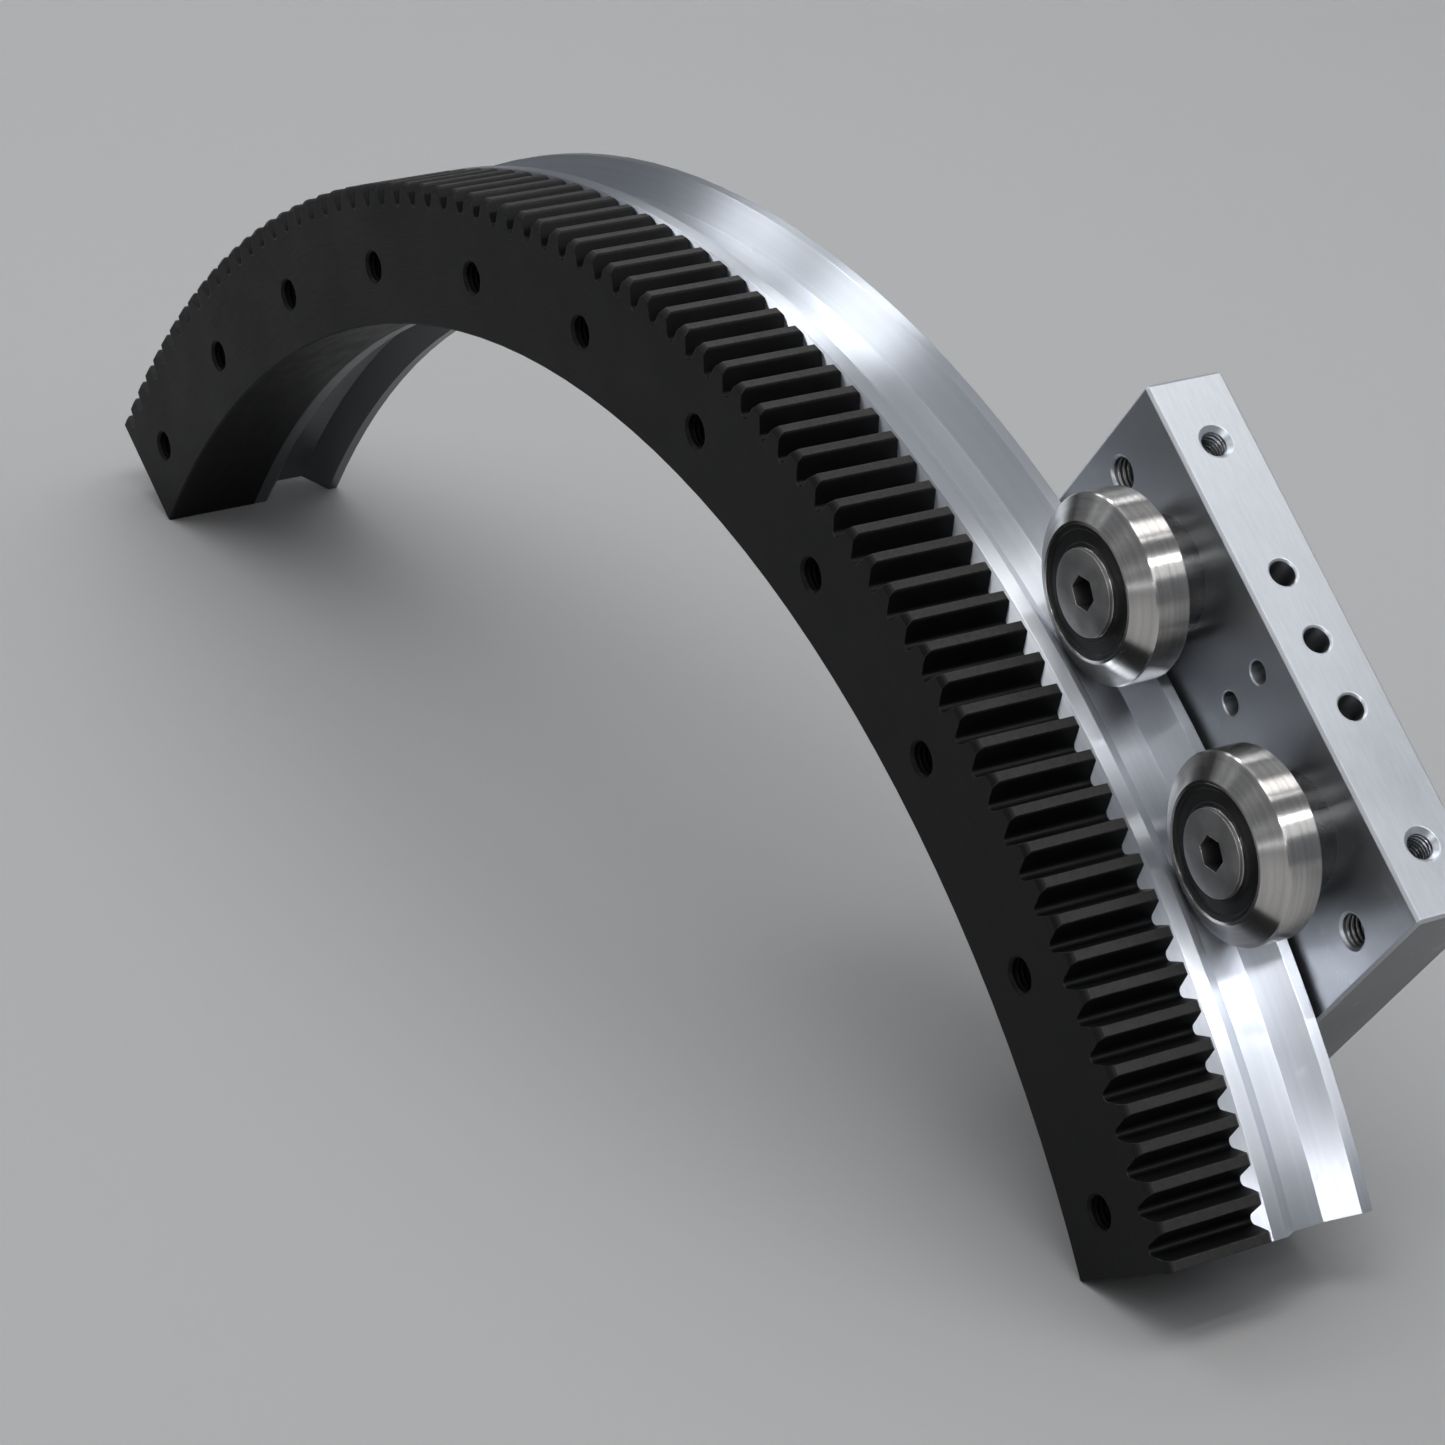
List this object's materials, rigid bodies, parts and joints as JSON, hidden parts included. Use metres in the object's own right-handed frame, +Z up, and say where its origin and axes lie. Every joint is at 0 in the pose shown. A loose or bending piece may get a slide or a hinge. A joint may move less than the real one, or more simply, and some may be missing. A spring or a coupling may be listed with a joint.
{
  "type": "curved rack and roller rail",
  "caption": "Arc-shaped external gear rack backed by a V-groove arc rail, with a plate carriage that rolls round it on profiled rollers.",
  "frame": {"origin": "middle of the footprint at the level of the arc's feet; the ring's own axis is parallel to Y, 157.87 mm below and 0.9 mm to the -X side", "axes": "+Y along the ring axis from the rack to the rail and carriage plate, +Z up through the middle of the arc, +X to the side where the carriage rests"},
  "size_m": [0.5702, 0.0842, 0.1893],
  "materials": {
    "black_oxide_steel": "black oxide, satin",
    "rail_steel": "fine turned, satin",
    "plate_aluminium": "brushed, clear anodised",
    "bearing_steel": "ground and polished",
    "ball_steel": "lapped",
    "stud_steel": "turned, satin",
    "seal_rubber": "matte, moulded",
    "cage_polymer": "moulded",
    "black_fastener_steel": "black oxide"
  },
  "bodies": {
    "arc": {"arc_rack": "black_oxide_steel", "arc_rail": "rail_steel", "rail_screws": "black_fastener_steel", "rail_dowels": "stud_steel"},
    "carriage": {"carriage_plate": "plate_aluminium", "roller_studs": "stud_steel", "spacer_collars": "stud_steel", "inner_rings": "bearing_steel", "stud_washers": "stud_steel", "stud_nuts": "stud_steel"},
    "roller_out_up": {"roller_ring_out_up": "bearing_steel", "seal_front_out_up": "seal_rubber", "seal_rear_out_up": "seal_rubber"},
    "balls_out_up": {"balls_out_up": "ball_steel", "cage_out_up": "cage_polymer"},
    "roller_out_low": {"roller_ring_out_low": "bearing_steel", "seal_front_out_low": "seal_rubber", "seal_rear_out_low": "seal_rubber"},
    "balls_out_low": {"balls_out_low": "ball_steel", "cage_out_low": "cage_polymer"},
    "roller_in_up": {"roller_ring_in_up": "bearing_steel", "seal_front_in_up": "seal_rubber", "seal_rear_in_up": "seal_rubber"},
    "balls_in_up": {"balls_in_up": "ball_steel", "cage_in_up": "cage_polymer"},
    "roller_in_low": {"roller_ring_in_low": "bearing_steel", "seal_front_in_low": "seal_rubber", "seal_rear_in_low": "seal_rubber"},
    "balls_in_low": {"balls_in_low": "ball_steel", "cage_in_low": "cage_polymer"}
  },
  "joints": [
    {"name": "carriage_travel", "type": "hinge", "parent": "arc", "child": "carriage", "pos_m": [-0.0009, 0.00335, -0.15787], "axis": [0, -1, 0], "range_deg": [0, 73.6]},
    {"name": "spin_out_up", "type": "hinge", "parent": "carriage", "child": "roller_out_up", "pos_m": [0.18095, 0.00335, 0.14585], "axis": [0, -1, 0], "continuous": true},
    {"name": "orbit_out_up", "type": "hinge", "parent": "carriage", "child": "balls_out_up", "pos_m": [0.18095, 0.00335, 0.14585], "axis": [0, -1, 0], "continuous": true},
    {"name": "spin_out_low", "type": "hinge", "parent": "carriage", "child": "roller_out_low", "pos_m": [0.23912, 0.00335, 0.10233], "axis": [0, -1, 0], "continuous": true},
    {"name": "orbit_out_low", "type": "hinge", "parent": "carriage", "child": "balls_out_low", "pos_m": [0.23912, 0.00335, 0.10233], "axis": [0, -1, 0], "continuous": true},
    {"name": "spin_in_up", "type": "hinge", "parent": "carriage", "child": "roller_in_up", "pos_m": [0.14191, 0.00335, 0.08065], "axis": [0, -1, 0], "continuous": true},
    {"name": "orbit_in_up", "type": "hinge", "parent": "carriage", "child": "balls_in_up", "pos_m": [0.14191, 0.00335, 0.08065], "axis": [0, -1, 0], "continuous": true},
    {"name": "spin_in_low", "type": "hinge", "parent": "carriage", "child": "roller_in_low", "pos_m": [0.18759, 0.00335, 0.04647], "axis": [0, -1, 0], "continuous": true},
    {"name": "orbit_in_low", "type": "hinge", "parent": "carriage", "child": "balls_in_low", "pos_m": [0.18759, 0.00335, 0.04647], "axis": [0, -1, 0], "continuous": true}
  ],
  "couplings": [
    {"joint": "spin_out_up", "follows": "carriage_travel", "ratio": 13.75},
    {"joint": "orbit_out_up", "follows": "carriage_travel", "ratio": 8.625},
    {"joint": "spin_out_low", "follows": "carriage_travel", "ratio": 13.75},
    {"joint": "orbit_out_low", "follows": "carriage_travel", "ratio": 8.625},
    {"joint": "spin_in_up", "follows": "carriage_travel", "ratio": -12.583},
    {"joint": "orbit_in_up", "follows": "carriage_travel", "ratio": -7.8932},
    {"joint": "spin_in_low", "follows": "carriage_travel", "ratio": -12.583},
    {"joint": "orbit_in_low", "follows": "carriage_travel", "ratio": -7.8932}
  ]
}
